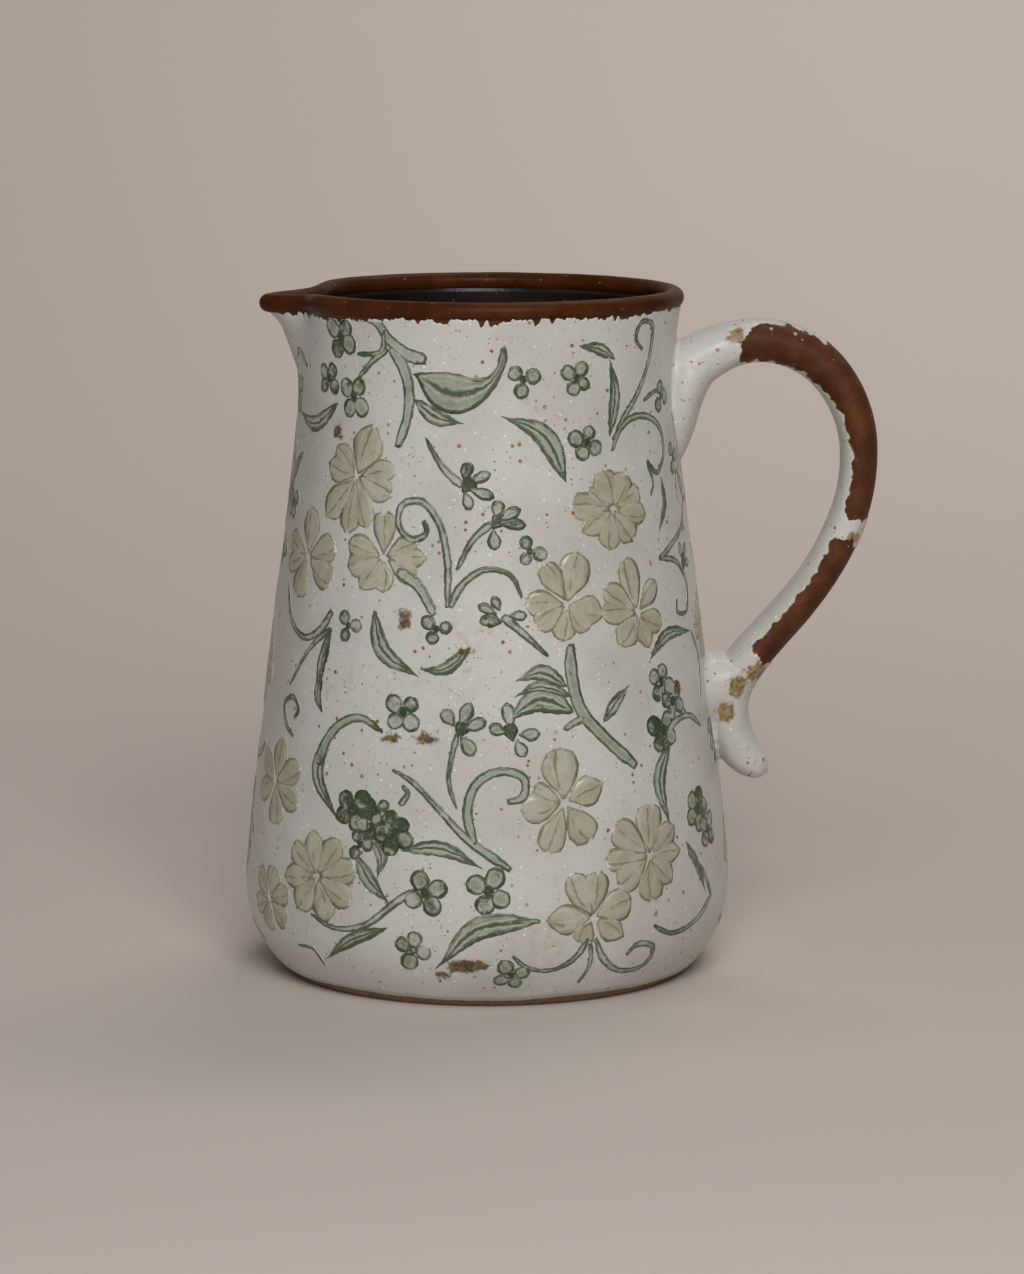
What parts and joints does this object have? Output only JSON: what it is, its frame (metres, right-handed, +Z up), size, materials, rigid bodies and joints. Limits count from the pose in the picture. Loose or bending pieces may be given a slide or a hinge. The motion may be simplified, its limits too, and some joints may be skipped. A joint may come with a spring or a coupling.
{
  "type": "pitcher",
  "caption": "Tapered ceramic pitcher with a rounded shoulder at the base, a rolled lip, a pinched pouring spout and a looped strap handle, glazed outside and lined inside.",
  "frame": {"origin": "centre of the foot ring, on the axis of the body, in the plane that the pitcher stands on", "axes": "+Z up along the axis of the body, -X towards the spout, +X towards the handle"},
  "size_m": [0.2132, 0.163, 0.23],
  "materials": {
    "brown_stoneware": "matte fired clay",
    "brown_glaze": "glossy",
    "dark_glaze": "glossy",
    "white_glaze": "satin gloss"
  },
  "bodies": {
    "root": {"clay_floor": "brown_stoneware", "clay_heel": "brown_stoneware", "clay_wall": "brown_stoneware", "clay_neck": "brown_stoneware", "rolled_lip": "brown_glaze", "dark_lining_glaze": "dark_glaze", "white_body_glaze": "white_glaze", "strap_handle": "brown_stoneware", "upper_root_tongue": "white_glaze", "lower_root_collar": "white_glaze", "white_handle_glaze": "white_glaze"}
  },
  "joints": []
}
